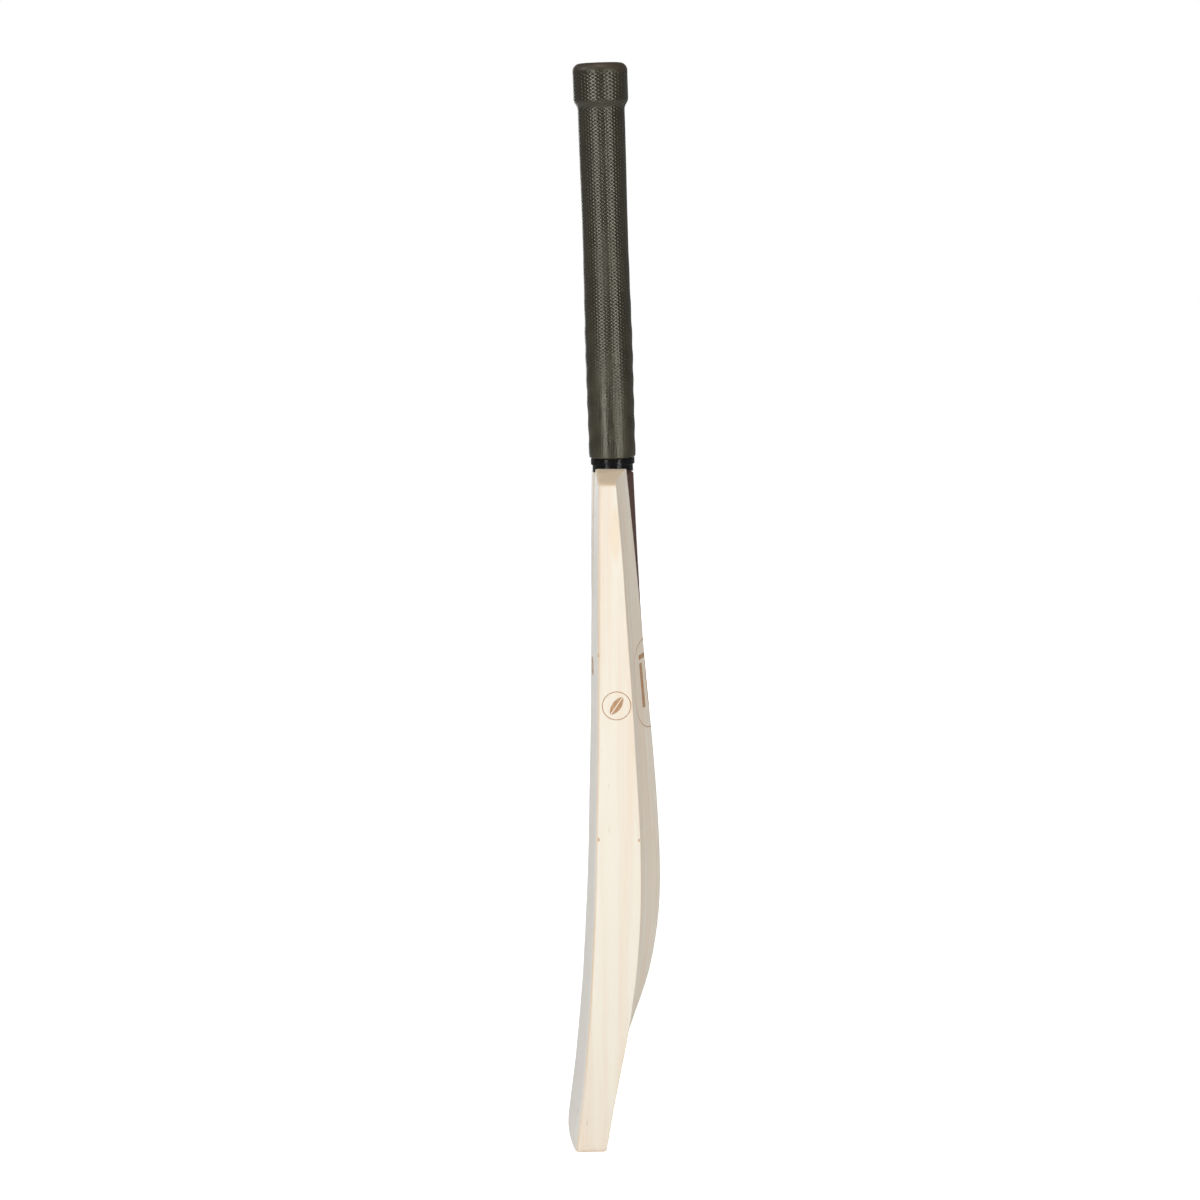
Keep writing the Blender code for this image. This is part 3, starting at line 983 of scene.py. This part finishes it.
@dataclass
class Tape:
    """Two wraps of black tape at the foot of the handle."""

    axis: Axis
    finish: TapeFinish = TapeFinish()
    wraps: tuple[Wrap, ...] = (Wrap("tape_lower", 1.9, 0.0042), Wrap("tape_upper", -0.75, 0.0))
    steps: int = 96
    rows: int = 6
    chamfer: float = 0.0002
    tail: float = 0.000198
    wave_around: float = 2.3
    wave_up: float = 260.0
    wave_height: float = 0.00006
    sink: float = 0.00004
    crease: float = 40.0

    def build(self) -> None:
        """Make both wraps."""
        material = self.finish.material()
        for wrap in self.wraps:
            dress(self.ring(wrap), material, "tape", wrap.node)

    def ring(self, wrap: Wrap) -> Object:
        """Make a ring with rounded rims, an overlap at its tail and small waves.

        Args:
            wrap: The wrap.

        Returns:
            The finished ring.
        """
        pairs = self.axis.outline(wrap.node)
        inner, outer = min(pairs)[0], max(pairs)[0]
        low, high = pairs[0][1], pairs[-1][1]
        cut = self.chamfer
        rise = (high - low - 2.0 * cut) / self.rows
        wall = [(outer, low + cut + rise * i) for i in range(self.rows + 1)]
        outline = [(inner, low), (outer - cut, low), *wall]
        outline += [(outer - cut, high), (inner, high), (inner, low)]
        piece = spun(wrap.node.replace("tape", "black_tape"), outline, self.axis, self.steps)
        for corner in piece.data.vertices:
            spoke, along = self.axis.spoke(corner.co), self.axis.along(corner.co)
            radius, angle = spoke.length, math.atan2(spoke.y, spoke.x)
            if wrap.arch:
                share = (along - low) / (high - low)
                lift = wrap.arch * (spoke.x / outer) ** 2
                along = max(along, low + lift * (1.0 - share) + share * (along - low))
            if radius > inner + cut:
                radius += self.ripple(angle, along, wrap.tail_at)
            corner.co = self.axis.point(radius, angle, along)
        merge_doubles(piece)
        smooth(piece, self.crease)
        return piece

    def ripple(self, angle: float, along: float, tail_at: float) -> float:
        """How far the tape's surface lies from its plain ring.

        Args:
            angle: The angle round the ring.
            along: The distance up the axis.
            tail_at: The angle of the tape's end.

        Returns:
            The change of radius.
        """
        around = self.wave_around
        spot = Vector((math.cos(angle) * around, math.sin(angle) * around, along * self.wave_up))
        turned = ((angle - tail_at) % TURN) / TURN
        return self.wave_height * noise.noise(spot) - self.sink - self.tail * turned


@dataclass
class Grip:
    """The dimpled rubber grip with its thick collar."""

    axis: Axis
    finish: RubberFinish = RubberFinish()
    columns: int = 40
    row_pitch: float = 0.00276
    pit_radius: float = 0.00072
    pit_depth: float = 0.00050
    pit_sides: int = 8
    pit_inset: float = 0.45
    frame_size: float = 2.0
    between: float = 1.5
    off_axis: float = 0.1
    usual_radius: float = 0.0183
    wall_gap: float = 0.0010
    lip_gap: float = 0.0006
    lip_cut: float = 0.00018
    plain_rows: float = 0.75
    full_heights: Pair = (0.595, 0.690)
    patch_around: float = 1.3
    patch_up: float = 38.0
    patch_span: Pair = (-0.25, 0.45)
    patch_share: float = 0.55
    foot_fade: Pair = (0.0035, 0.0075)
    crown_fade: float = 0.0020
    fold_heights: Pair = (0.690, 0.615)
    calm_rim: float = 0.004
    lump_around: float = 1.4
    lump_up: float = 34.0
    lump_height: float = 0.00010
    fold_around: float = 7.0
    fold_shift: float = 5.0
    fold_up: float = 24.0
    fold_height: float = 0.00012
    seam: float = 2e-5
    crease: float = 62.0

    def build(self) -> None:
        """Make the grip and dress it."""
        wall, rest = self.split(self.axis.outline("grip"))
        grip = self.field(wall)
        shell = spun("grip_shell", rest, self.axis, 2 * self.columns)
        pit = shell.data.attributes.new("pit", "FLOAT", "POINT")
        pit.data.foreach_set("value", [0.0] * len(shell.data.vertices))
        take(grip, shell)
        bpy.ops.object.join()
        grip.name = "dimpled_grip"
        merge_doubles(grip, self.seam)
        smooth(grip, self.crease)
        dress(grip, self.finish.material(), "grip", "grip")

    def split(self, pairs: Outline) -> tuple[Outline, Outline]:
        """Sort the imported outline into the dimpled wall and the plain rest.

        Args:
            pairs: The outline's (radius, along) pairs, lowest first.

        Returns:
            The wall from foot to collar, and the rest from the wall's top round to its foot.
        """
        low, high = pairs[0][1], pairs[-1][1]
        widest, lip = max(pairs)[0], min(pairs)[0]
        crown = max(a for r, a in pairs if r > widest - 0.1 * NEAR)
        bore = min(r for r, a in pairs if a < low + NEAR)
        under = min(a for r, a in pairs if r < lip + NEAR)
        wall = [(r, a) for r, a in pairs if r > bore + self.wall_gap and low + NEAR < a <= crown]
        over = [(r, a) for r, a in pairs if a > crown and r > bore - self.lip_gap]
        over = sorted((p for p in over if p[0] > bore + NEAR or p[1] > under + NEAR), reverse=True)
        gap, cut = self.lip_gap, self.lip_cut
        top = [(lip + gap, high), (lip + cut, high - cut), (lip, high - gap)]
        inside = [(lip, under), (bore, under), (bore, 0.5 * (low + under)), (bore, low)]
        foot = (max(r for r, a in pairs if a < low + NEAR), low)
        return wall, [wall[-1], *over, *top, *inside, foot, wall[0]]

    def field(self, wall: Outline) -> Object:
        """The wall with its rows of dimples.

        Args:
            wall: (radius, along) pairs from the foot to the collar.

        Returns:
            The open tube, with the attribute pit.
        """
        steps = [math.hypot(r1 - r0, a1 - a0) for (r0, a0), (r1, a1) in zip(wall, wall[1:])]
        lengths = list(accumulate(steps, initial=0.0))
        rows = round(lengths[-1] / self.row_pitch)
        pitch = lengths[-1] / (rows + 0.5)
        width = TURN / self.columns
        piece = self.cell(width, pitch)
        take(piece)
        runs = ((rows, (0.0, pitch, 0.0)), (self.columns // 2, (2.0 * width, 0.0, 0.0)))
        for count, step in runs:
            copies = piece.modifiers.new("copies", "ARRAY")
            copies.use_relative_offset = False
            copies.use_constant_offset = True
            copies.count = count
            copies.constant_offset_displace = step
            bpy.ops.object.modifier_apply(modifier=copies.name)
        self.wrap(piece, wall, lengths, pitch)
        return piece

    def cell(self, width: float, pitch: float) -> Object:
        """Two neighbouring dimples, flat: X is the angle, Y the length and Z the depth.

        Args:
            width: The angle between columns.
            pitch: The length between rows.

        Returns:
            The pair, ready to be repeated.
        """
        bpy.ops.mesh.primitive_circle_add(vertices=self.pit_sides, radius=1.0, fill_type="NOTHING")
        piece = bpy.context.active_object
        piece.name = "dimple"
        edit(piece)
        bpy.ops.mesh.extrude_edges_indiv()
        bpy.ops.transform.resize(value=(self.frame_size, self.frame_size, 1.0))
        mesh = bmesh.from_edit_mesh(piece.data)
        for corner in mesh.verts:
            corner.select = corner.co.length < self.between
        mesh.select_flush(True)
        bpy.ops.mesh.select_mode(type="EDGE")
        for line in mesh.edges:
            line.select = all(corner.co.length < self.between for corner in line.verts)
        bpy.ops.mesh.edge_face_add()
        bpy.ops.mesh.inset(thickness=self.pit_inset)
        bpy.ops.mesh.poke()
        close_edit()
        for corner in piece.data.vertices:
            corner.co = self.shaped(corner.co, width, pitch)
        take(piece)
        bpy.ops.object.duplicate()
        other = bpy.context.active_object
        other.data.transform(Matrix.Translation((width, 0.5 * pitch, 0.0)))
        take(piece, other)
        bpy.ops.object.join()
        return piece

    def shaped(self, point: Vector, width: float, pitch: float) -> Triple:
        """Sink a point of a dimple, or move one of the frame round it onto its diamond.

        Args:
            point: The point, in the dimple's circle of radius 1 or on the frame outside it.
            width: The angle between columns.
            pitch: The length between rows.

        Returns:
            Its place.
        """
        x, y = point.x, point.y
        if math.hypot(x, y) < self.between:
            depth = self.pit_depth * (1.0 - x * x - y * y)
            return x * self.pit_radius / self.usual_radius, y * self.pit_radius, depth
        far_x, far_y = abs(x) > self.off_axis, abs(y) > self.off_axis
        share = 0.5 if far_x and far_y else 1.0
        wide = math.copysign(width * share, x) if far_x else 0.0
        return wide, math.copysign(0.5 * pitch * share, y) if far_y else 0.0, 0.0

    def wrap(self, piece: Object, wall: Outline, lengths: list[float], pitch: float) -> None:
        """Bend the flat field onto the wall, fade its dimples and raise its wrinkles.

        Args:
            piece: The flat field.
            wall: (radius, along) pairs.
            lengths: Distance along the wall to each pair.
            pitch: The length between rows.
        """
        end = lengths[-1]
        margin = self.plain_rows * pitch
        depths = []
        for corner in piece.data.vertices:
            angle, length, depth = corner.co.x, corner.co.y + 0.5 * pitch, corner.co.z
            if depth == 0.0 and (length < margin or length > end - margin):
                length = 0.0 if length < margin else end
            radius, along = self.at(wall, lengths, min(max(length, 0.0), end))
            height = self.axis.point(radius, angle, along).z
            share, wave = self.relief(angle, height, length, end - length)
            depths.append(share * depth / self.pit_depth)
            corner.co = self.axis.point(radius + wave - share * depth, angle, along)
        pit = piece.data.attributes.new("pit", "FLOAT", "POINT")
        pit.data.foreach_set("value", depths)

    @staticmethod
    def at(wall: Outline, lengths: list[float], length: float) -> Pair:
        """Find a place on the smooth curve through the wall's points.

        Args:
            wall: (radius, along) pairs.
            lengths: Distance along the wall to each pair.
            length: The distance along the wall that is wanted.

        Returns:
            The radius there, and the distance up the axis.
        """
        last = len(wall) - 2
        i = next((k for k in range(last + 1) if length <= lengths[k + 1]), last)
        before, after = max(i - 1, 0), min(i + 2, last + 1)
        span = lengths[i + 1] - lengths[i]
        t = (length - lengths[i]) / span
        result = []
        for part in (0, 1):
            start, stop = wall[i][part], wall[i + 1][part]
            slope_in = (stop - wall[before][part]) / (lengths[i + 1] - lengths[before]) * span
            slope_out = (wall[after][part] - start) / (lengths[after] - lengths[i]) * span
            result.append(
                (2 * t**3 - 3 * t**2 + 1) * start
                + (t**3 - 2 * t**2 + t) * slope_in
                + (3 * t**2 - 2 * t**3) * stop
                + (t**3 - t**2) * slope_out
            )
        return result[0], result[1]

    def relief(self, angle: float, height: float, low: float, high: float) -> Pair:
        """Work out how the stretched rubber changes its dimples and rises in small waves.

        Args:
            angle: The angle round the handle.
            height: The height above the toe.
            low: The distance along the wall from its foot.
            high: The distance along the wall to its crown.

        Returns:
            The share of a dimple's depth that is left, and the waves' change of radius.
        """
        around = Vector((math.cos(angle), math.sin(angle), 0.0))
        up = Vector((0.0, 0.0, height))
        patch = noise.noise(around * self.patch_around + up * self.patch_up)
        patch = self.patch_share * ease(patch, *self.patch_span)
        full = ease(height, *self.full_heights)
        share = ease(low, *self.foot_fade) * ease(high, 0.0, self.crown_fade)
        share *= full + (1.0 - full) * patch
        lump = noise.noise(around * self.lump_around + up * self.lump_up)
        shift = Vector((0.0, self.fold_shift, 0.0))
        fold = noise.noise(around * self.fold_around + shift + up * self.fold_up)
        waves = self.lump_height * lump + self.fold_height * fold * ease(height, *self.fold_heights)
        return share, waves * ease(low, 0.0, self.calm_rim) * ease(high, 0.0, self.calm_rim)


# ---- the studio


@dataclass(frozen=True)
class Softbox:
    """A tall soft light: where it stands, its size, its brightness and its colour."""

    name: str
    azimuth: float
    distance: float
    height: float
    width: float
    tall: float
    power: float
    colour: Colour = (1.0, 1.0, 1.0)

    def build(self, aim: Vector) -> None:
        """Stand the light, facing a point.

        Args:
            aim: The point that it faces.
        """
        lamp = bpy.data.lights.new(self.name, "AREA")
        lamp.shape = "RECTANGLE"
        lamp.size, lamp.size_y = self.width, self.tall
        lamp.energy, lamp.color = self.power, self.colour
        item = new_object(self.name, lamp)
        turn, away = math.radians(self.azimuth), self.distance
        item.location = (away * math.cos(turn), away * math.sin(turn), self.height)
        item.rotation_euler = (aim - item.location).to_track_quat("-Z", "Y").to_euler()


@dataclass
class Studio:
    """A plain pale floor, soft lights and the camera."""

    eye: Triple = (1.9973, -0.0946, 0.800)
    aim: Triple = (0.0, 0.0101, 0.4510)
    lit_point: Triple = (0.0, 0.0, 0.45)
    lens: float = 75.32
    sensor: float = 36.0
    clip: Pair = (0.05, 50.0)
    floor_size: float = 14.0
    floor_gap: float = 0.0002
    floor_colour: Colour = (0.93, 0.93, 0.93)
    floor_roughness: float = 0.9
    floor_glow: float = 0.86
    floor_bounce: float = 0.03
    ambient: float = 0.235
    backdrop: float = 1.0
    softboxes: tuple[Softbox, ...] = (
        Softbox("softbox_face_side", -35.0, 1.7, 0.62, 0.30, 1.5, 13.0, (0.92, 0.97, 1.0)),
        Softbox("softbox_spine_side", 34.0, 1.7, 0.62, 0.34, 1.5, 13.3, (0.95, 0.985, 1.0)),
        Softbox("softbox_overhead", -2.0, 0.7, 2.60, 1.10, 0.9, 9.0),
        Softbox("softbox_face", -80.0, 1.5, 1.70, 0.90, 0.8, 5.6, (0.86, 0.94, 1.0)),
        Softbox("softbox_behind", 185.0, 2.6, 0.90, 1.40, 1.6, 15.0),
    )

    def build(self) -> None:
        """Set the camera, the floor, the world and the lights."""
        scene = bpy.context.scene
        scene.view_settings.view_transform = "Standard"
        scene.view_settings.look = "None"
        self.camera()
        self.floor()
        self.world()
        for box in self.softboxes:
            box.build(Vector(self.lit_point))

    def camera(self) -> None:
        """The camera, a little above the bat's middle and turned slightly to the face."""
        lens = bpy.data.cameras.new("camera")
        lens.lens, lens.sensor_width = self.lens, self.sensor
        lens.clip_start, lens.clip_end = self.clip
        item = new_object("camera", lens)
        item.location = self.eye
        way = Vector(self.aim) - Vector(self.eye)
        item.rotation_euler = way.to_track_quat("-Z", "Y").to_euler()
        bpy.context.scene.camera = item

    def floor(self) -> None:
        """A pale floor that glows a little, so that it stays as light as the backdrop."""
        deselect()
        bpy.ops.mesh.primitive_plane_add(size=self.floor_size, location=(0.0, 0.0, -self.floor_gap))
        plane = bpy.context.active_object
        plane.name = "studio_floor"
        kit = Recipe("studio_floor")
        kit.preset("Emission Color", self.floor_colour)
        seen = kit.node("ShaderNodeLightPath").outputs["Is Camera Ray"]
        kit.preset("Emission Strength", kit.ramp(seen, FULL, (self.floor_bounce, self.floor_glow)))
        plane.data.materials.append(kit.finish(self.floor_colour, self.floor_roughness))

    def world(self) -> None:
        """Even soft light, with a white backdrop where nothing stands."""
        world = bpy.data.worlds.new("studio")
        bpy.context.scene.world = world
        world.use_nodes = True
        tree = world.node_tree
        seen = tree.nodes.new("ShaderNodeBackground")
        path = tree.nodes.new("ShaderNodeLightPath")
        mix = tree.nodes.new("ShaderNodeMixShader")
        tree.links.new(path.outputs["Is Camera Ray"], mix.inputs[0])
        lights = ((tree.nodes["Background"], self.ambient), (seen, self.backdrop))
        for place, (light, strength) in enumerate(lights, start=1):
            light.inputs["Color"].default_value = (1.0, 1.0, 1.0, 1.0)
            light.inputs["Strength"].default_value = strength
            tree.links.new(light.outputs[0], mix.inputs[place])
        tree.links.new(mix.outputs[0], tree.nodes["World Output"].inputs["Surface"])


def main() -> None:
    """Build the bat's looks and the studio round it."""
    logging.basicConfig(level=logging.INFO, format="%(name)s: %(message)s")
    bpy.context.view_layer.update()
    deselect()
    axis = Axis.between("twine_1", "twine_4")
    Blade().build()
    Handle().build()
    Tape(axis).build()
    Grip(axis).build()
    Studio().build()


if __name__ == "__main__":
    main()
